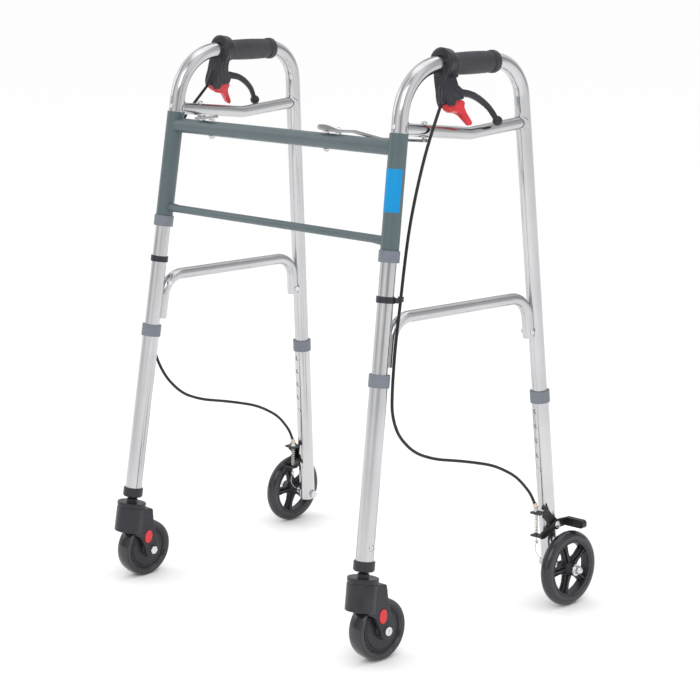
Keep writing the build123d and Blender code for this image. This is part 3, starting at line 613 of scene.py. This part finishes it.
PINCH_SCREW, PINCH_SCREW_REACH = (-8, 29, 18), 0.012      # its head, and metres round it that hold it all


def brake_hardware(side):
    """The fasteners node as two pieces: the clamp's pinch screw, coloured black, and all the plated ones."""
    node = f"frame_hardware_{side.name}"
    body = f"{side.name}_side_frame"
    head = side.matrix() @ brake_frame(side) @ Vector(PINCH_SCREW)
    for name, slot, inside in (("pinch_screw", "black_steel", True), ("frame_pins", "zinc_steel", False)):
        piece = cad_copy(f"{name}_{side.name}", node)
        whole = bmesh.new()
        whole.from_mesh(piece.data)
        others = [vert for vert in whole.verts
                  if ((vert.co - head).length < PINCH_SCREW_REACH) != inside]
        bmesh.ops.delete(whole, geom=others, context="VERTS")
        whole.to_mesh(piece.data)
        whole.free()
        dress(piece, body, slot, [node])


# ---- latches ----
PADDLE_RISE = math.radians(13)
PADDLE_SAG = 1.3                # how far the paddle's underside is let down, and the run it takes
PADDLE_SAG_RUN = 5


def latch(side):
    """Latch plate whose paddle is a thick, rounded pressing."""
    node = f"latch_{side.name}"
    pivot = side.local(JOINTS[f"{side.name}_latch_rock"]["pos_m"])
    inboard = side.along((-math.copysign(1, side.origin.x), 0, 0))
    up = side.along((0, 0, 1))
    rise = inboard * math.cos(PADDLE_RISE) + up * math.sin(PADDLE_RISE)
    face = up * math.cos(PADDLE_RISE) - inboard * math.sin(PADDLE_RISE)
    place = axes(pivot + inboard * 17 + up * 0.4, face, rise)       # on the paddle's root, at its underside

    def thicken(x, y, z):
        underside = x > 0.3 and z < 0.8
        return (x, y, -PADDLE_SAG * min(x / PADDLE_SAG_RUN, 1)) if underside else (x, y, z)

    piece = cad_copy(f"latch_plate_{side.name}", node)
    reshape(piece, side, place, thicken)
    finish_mesh(piece.data)
    round_edges(piece, 0.8, 3, 50)
    dress(piece, f"{side.name}_latch", "latch_steel", [node])


# ---- wheels ----
def axle_frame(side, joint):
    """Matrix on a wheel's axle: Z outboard."""
    spot = side.local(JOINTS[f"{side.name}_{joint}"]["pos_m"])
    return axes(spot, (1, 0, 0), (0, 1, 0))


def arc_profile(radius, crown, half):
    """Arched tread across a tyre, as (radius, level) from one shoulder to the other."""
    steps = 14
    levels = [half * math.sin(math.pi / 2 * (k / steps * 2 - 1)) for k in range(steps + 1)]
    return [(radius - crown + math.sqrt(crown ** 2 - level ** 2), level) for level in levels]


def mirrored(profile):
    """A profile's other half, across the wheel's middle plane."""
    return [(radius, -level) for radius, level in reversed(profile)]


SPOKES = 5
RIM = [(50.2, 8.4), (47.5, 9.4), (44.5, 9.4), (43.2, 8.4), (42.6, 2.4)]
BOSS = [(4.3, 17.4), (8.5, 17.4), (9.5, 16.6), (11.2, 9.5), (13.5, 6.5), (14, 2)]
SPOKE_SIDE = [(10, 8.2), (26, 5.6), (44, 7.8)]          # a spoke's web is waisted: (radius, half width)
SPOKE_SIDE_INNER = [(44, 6.0), (26, 3.8), (10, 6.0)]
SPOKE_RIB = [(10, 2.4), (45, 1.5)]


def rear_wheel(side):
    """Tyre, and a hub whose spokes are a thin web with a rib down its middle and a flange on each edge."""
    tyre = f"rear_tyre_{side.name}"
    hub = f"rear_hub_{side.name}"
    low, high = part_box(tyre, side)
    radius = (high.z - low.z) / 2
    half = (high.x - low.x) / 2
    place = axle_frame(side, "rear_wheel_roll")
    middle = place @ Matrix.Translation((0, 0, (low.x + high.x) / 2 - place.translation.x))
    body = f"{side.name}_rear_wheel"

    tread = arc_profile(radius, half, half * 0.985)
    bead = [(radius - half - 3.5, half * 0.93), (radius - half - 5.0, half * 0.80), (50.3, half * 0.72)]
    form = Form().lathe(middle, tread + bead + mirrored(bead), 96)
    place_piece(f"{tyre}_rubber", side, form, body, "tyre_rubber", [tyre])

    form = Form().lathe(middle, RIM + mirrored(RIM), 96)
    form.lathe(middle, BOSS + mirrored(BOSS), 48)
    for spoke in range(SPOKES):
        turned = middle @ Matrix.Rotation(2 * math.pi * (spoke / SPOKES + 0.5), 4, "Z")
        form.slab(turned, [(x, -y) for x, y in SPOKE_SIDE] + SPOKE_SIDE[::-1], -2.2, 2.2)
        form.slab(turned, [(x, -y) for x, y in SPOKE_RIB] + SPOKE_RIB[::-1], -6.8, 6.8)
        for edge in (-1, 1):
            flange = [(x, edge * y) for x, y in SPOKE_SIDE + SPOKE_SIDE_INNER]
            form.slab(turned, flange, -4.6, 4.6)
    place_piece(f"{hub}_spokes", side, form, body, "black_plastic", [hub], 0.5)


def caster_wheel(side):
    """Tyre with an arched tread, and a disc hub whose ridges and boss are in its profile."""
    tyre = f"caster_tyre_{side.name}"
    hub = f"caster_hub_{side.name}"
    low, high = part_box(tyre, side)
    radius, half = (high.z - low.z) / 2, (high.x - low.x) / 2
    place = axle_frame(side, "caster_roll")
    body = f"{side.name}_caster_wheel"
    tread = arc_profile(radius, 46.0, half - 1.6)
    shoulder = tread[-1][0]
    flank = [(shoulder - 1.4, half - 0.2), (shoulder - 4, half), (40.5, half - 0.6), (39.6, half - 2.2),
             (37.2, half - 3.4)]
    form = Form().lathe(place, tread + flank + mirrored(flank), 96)
    place_piece(f"{tyre}_rubber", side, form, body, "tyre_rubber", [tyre])
    face = [(37.0, half - 5), (36.4, half - 3.4), (34.6, half - 3.0), (33.6, half - 4.2), (32.0, half - 4.2),
            (31.0, half - 2.8), (16, half - 2.0), (14.4, half - 3.2), (12.8, half - 3.2), (11.6, half - 0.6),
            (10.6, half + 0.9), (4.3, half + 0.9)]
    form = Form().lathe(place, face + mirrored(face), 96)
    place_piece(f"{hub}_disc", side, form, body, "black_plastic", [hub])


def inner_plug(side):
    """The caster's second red plug: its outer one carried across the wheel to the inboard cheek."""
    node = f"caster_plug_{side.name}"
    middle = side.local(JOINTS[f"{side.name}_caster_roll"]["pos_m"]).x
    piece = cad_copy(f"caster_inner_plug_{side.name}", node)
    for vertex in piece.data.vertices:
        spot = side.local(vertex.co)
        vertex.co = side.matrix() @ Vector((2 * middle - spot.x, spot.y, spot.z))
    finish_mesh(piece.data)
    dress(piece, f"{side.name}_caster_fork", "red_plastic", [])


# ---- brake line ----
CABLE_BEND_Z = 290.0
CABLE_BEND_U = 60.0, 265.0      # where the cable's bending starts, and from where it moves with the leg


def brake_line(side):
    """The jacketed cable between the side frame and the sliding rear leg, copied whole onto no body; its spring
    goes with the leg.
    """
    cable = cad_copy(f"cable_jacket_{side.name}", f"brake_cable_{side.name}")
    dress(cable, None, "cable_jacket", [f"brake_cable_{side.name}"])
    start, end = (side.matrix() @ side.at(u, CABLE_BEND_Z) for u in CABLE_BEND_U)
    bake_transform(cable)

    node = f"brake_spring_{side.name}"
    spring = cad_copy(f"return_spring_{side.name}", node)
    dress(spring, f"{side.name}_rear_leg", "spring_steel", [node])
    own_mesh(spring)


# ---- small fittings ----
# places on a side frame as (rearward, height over the floor, outboard)
FERRULE = ((295, 168.5, 2.5), (286, 187.3, 1.75))       # its foot, and a point up the cable from it
WIRE_TAIL = ((295, 107, 2.5), (291.8, 99, 3), (292, 92, 3.8), (296.5, 84, 5), (304, 76.5, 6), (312, 72, 7))
WIRE_RADIUS = 0.55
RIVET_Z = 185.0


def cable_ends(side):
    """Knurled ferrule at the foot of the jacket, and the wire's loose end under the brake arm."""
    foot, ahead = (side.at(*spot) for spot in FERRULE)
    place = axes(foot, ahead - foot, (1, 0, 0))

    def knurl(angle, radius, level):
        return 0.16 * math.cos(18 * angle) if 1.6 < level < 7 and radius > 3 else 0.0

    profile = [(2.56, -2.0), (3.7, -2.0), (4.1, -1.4), (4.1, 0.4), (3.5, 1.0), (3.5, 7.4), (3.0, 8.2),
               (2.56, 8.2)]
    form = Form().lathe(place, profile, 72, knurl)
    place_piece(f"cable_ferrule_{side.name}", side, form, f"{side.name}_rear_leg", "spring_steel",
                material=FERRULE_BRASS)

    line = [side.at(*spot) for spot in smooth_line(WIRE_TAIL, 30)]
    rows = []
    for k, point in enumerate(line):
        along = line[min(k + 1, len(line) - 1)] - line[max(k - 1, 0)]
        ring = axes(point, along, (1, 0, 0))
        rows.append([ring @ Vector((WIRE_RADIUS * math.cos(a), WIRE_RADIUS * math.sin(a), 0))
                     for a in (math.pi * n / 5 for n in range(10))])
    form = Form().loops(rows, ring=False)
    place_piece(f"wire_tail_{side.name}", side, form, f"{side.name}_rear_leg", "spring_steel")


def leg_rivet(side):
    """Hollow rivet on the outboard face of the front leg."""
    outermost = part_box(f"leg_front_{side.name}", side)[1].x
    spot = side.at(side.front_u(RIVET_Z), RIVET_Z, outermost - 0.3)
    profile = [(0.02, 0), (5.3, 0), (5.5, 0.6), (4.6, 1.9), (3.6, 2.4), (2.9, 2.0), (2.4, 0.5), (0.02, 0.4)]
    form = Form().lathe(axes(spot, (1, 0, 0), (0, 1, 0)), profile, 40)
    place_piece(f"leg_rivet_{side.name}", side, form, f"{side.name}_front_leg", "zinc_steel")


LABEL_LOW_Z, LABEL_HIGH_Z = 693.0, 758.0
LABEL_START, LABEL_SWEEP = -168.0, 166.0        # degrees round the sleeve from outboard, towards the rear
LABEL_INNER, LABEL_OUTER = 14.53, 14.72         # radii of its faces
LABEL_EDGE = 0.3


def sleeve_label(side):
    """Plain sticker wrapped round the front of the left hinge sleeve."""
    up = side.along(JOINTS[f"{side.name}_fold"]["axis"])
    low = side.at(side.front_u(LABEL_LOW_Z), LABEL_LOW_Z)
    length = (LABEL_HIGH_Z - LABEL_LOW_Z) / up.z
    place = axes(low, up, (1, 0, 0))
    rows, steps = [], 28
    for k in range(steps + 1):
        angle = math.radians(LABEL_START + LABEL_SWEEP * k / steps)
        c, t = math.cos(angle), math.sin(angle)
        rows.append([place @ Vector((r * c, r * t, level))
                     for r, level in ((LABEL_INNER, 0), (LABEL_OUTER, LABEL_EDGE),
                                      (LABEL_OUTER, length - LABEL_EDGE), (LABEL_INNER, length))])
    form = Form().loops(rows, ring=False)
    place_piece("sleeve_label", side, form, "front_frame", "green_paint", material=LABEL_FILM)


def pieces(side):
    """Every piece of one side, in a fixed order."""
    name = side.name
    grip(side)
    brake_lever(side)
    moulded(f"brake_body_{name}", side, f"brake_housing_{name}", f"{name}_side_frame", "black_plastic",
            voxel=0.7, passes=4, extra=housing_ridges(side), place=brake_frame(side), move=round_clamp)
    moulded(f"catch_body_{name}", side, f"parking_catch_{name}", f"{name}_parking_catch", "red_plastic",
            voxel=0.5, passes=6, place=brake_frame(side), move=slim_tail)
    moulded(f"caster_hood_{name}", side, f"caster_fork_{name}", f"{name}_caster_fork", "black_plastic",
            voxel=0.9, passes=4)
    rear_wheel(side)
    caster_wheel(side)
    inner_plug(side)
    brake_line(side)
    cable_ends(side)
    leg_rivet(side)
    brake_hardware(side)
    latch(side)


# ---- studio ----
# what polished metal sees round it: (place round the room as a share of a turn, brightness)
WALLS = ((0.0, 0.85), (0.07, 1.0), (0.13, 0.42), (0.21, 0.80), (0.28, 1.1), (0.34, 0.75), (0.41, 0.36),
         (0.47, 0.85), (0.55, 1.1), (0.62, 0.65), (0.68, 0.38), (0.74, 0.85), (0.80, 1.0), (0.86, 0.45),
         (0.93, 0.95))
LAMPS = (                       # name, place, size, power
    ("key", (2.4, -2.6, 3.2), 2.4, 34),
    ("fill", (-3.0, -1.6, 2.2), 2.0, 10),
    ("top", (0.2, 0.6, 3.6), 2.6, 18),
)


def studio():
    """White floor and world; polished metal alone reflects walls with darker gaps between them."""
    bpy.ops.mesh.primitive_plane_add(size=400)
    floor = bpy.context.object
    floor.name = "floor"
    surface = Surface("pale_floor", (0.985, 0.985, 0.985), 0.8)
    surface.vary_roughness(surface.noise(8, 3), 0.05)
    surface.shader.inputs["Specular IOR Level"].default_value = 0.0
    floor.data.materials.append(surface.material)

    world = bpy.data.worlds.new("studio")
    bpy.context.scene.world = world
    world.use_nodes = True
    tree = world.node_tree
    nodes, links = tree.nodes, tree.links
    plain = nodes["Background"]
    plain.inputs["Color"].default_value = (1, 1, 1, 1)
    plain.inputs["Strength"].default_value = 1.0
    way = nodes.new("ShaderNodeTexCoord")
    split = nodes.new("ShaderNodeSeparateXYZ")
    links.new(way.outputs["Generated"], split.inputs[0])
    turn = nodes.new("ShaderNodeMath")
    turn.operation = "ARCTAN2"
    links.new(split.outputs["Y"], turn.inputs[0])
    links.new(split.outputs["X"], turn.inputs[1])
    scale = nodes.new("ShaderNodeMapRange")
    scale.inputs["From Min"].default_value = -math.pi
    scale.inputs["From Max"].default_value = math.pi
    links.new(turn.outputs[0], scale.inputs["Value"])
    ramp = nodes.new("ShaderNodeValToRGB")
    ramp.color_ramp.interpolation = "EASE"
    while len(ramp.color_ramp.elements) < len(WALLS):
        ramp.color_ramp.elements.new(0.5)
    for element, (place, level) in zip(ramp.color_ramp.elements, WALLS):
        element.position = place
        element.color = (level, level, level * 1.015, 1)
    links.new(scale.outputs["Result"], ramp.inputs["Fac"])
    shiny = nodes.new("ShaderNodeBackground")
    links.new(ramp.outputs["Color"], shiny.inputs["Color"])
    white = nodes.new("ShaderNodeBackground")
    white.inputs["Color"].default_value = (1, 1, 1, 1)
    rays = nodes.new("ShaderNodeLightPath")
    reflected = nodes.new("ShaderNodeMixShader")
    links.new(rays.outputs["Is Glossy Ray"], reflected.inputs["Fac"])
    links.new(plain.outputs[0], reflected.inputs[1])
    links.new(shiny.outputs[0], reflected.inputs[2])
    seen = nodes.new("ShaderNodeMixShader")
    links.new(rays.outputs["Is Camera Ray"], seen.inputs["Fac"])
    links.new(reflected.outputs[0], seen.inputs[1])
    links.new(white.outputs[0], seen.inputs[2])
    links.new(seen.outputs[0], nodes["World Output"].inputs["Surface"])

    for name, spot, size, power in LAMPS:
        data = bpy.data.lights.new(name, "AREA")
        data.size, data.energy = size, power
        lamp = bpy.data.objects.new(name, data)
        bpy.context.scene.collection.objects.link(lamp)
        lamp.location = spot
        lamp.rotation_euler = (Vector((0, 0, 0.45)) - Vector(spot)).to_track_quat("-Z", "Y").to_euler()
    bpy.context.scene.view_settings.view_transform = "Standard"


CAMERA_ANGLES = 45.62, 12.24, -0.23             # azimuth, elevation and roll, in degrees
CAMERA_AIM = -0.0603, 0.082, 0.3946
CAMERA_DISTANCE = 3.3835
CAMERA_LENS = 99.66


def camera():
    """Three-quarter view from the front left, a little above the crossbars."""
    azimuth, elevation, roll = (math.radians(angle) for angle in CAMERA_ANGLES)
    back = Vector((math.sin(azimuth) * math.cos(elevation), -math.cos(azimuth) * math.cos(elevation),
                   math.sin(elevation)))
    data = bpy.data.cameras.new("camera")
    data.lens = CAMERA_LENS
    eye = bpy.data.objects.new("camera", data)
    bpy.context.scene.collection.objects.link(eye)
    eye.location = Vector(CAMERA_AIM) + back * CAMERA_DISTANCE
    facing = (-back).to_track_quat("-Z", "Y").to_matrix()
    eye.rotation_euler = (facing @ Matrix.Rotation(roll, 3, "Z")).to_euler()
    bpy.context.scene.camera = eye


dress_cad()
for one_side in SIDE.values():
    pieces(one_side)
sleeve_label(SIDE["left"])
studio()
camera()
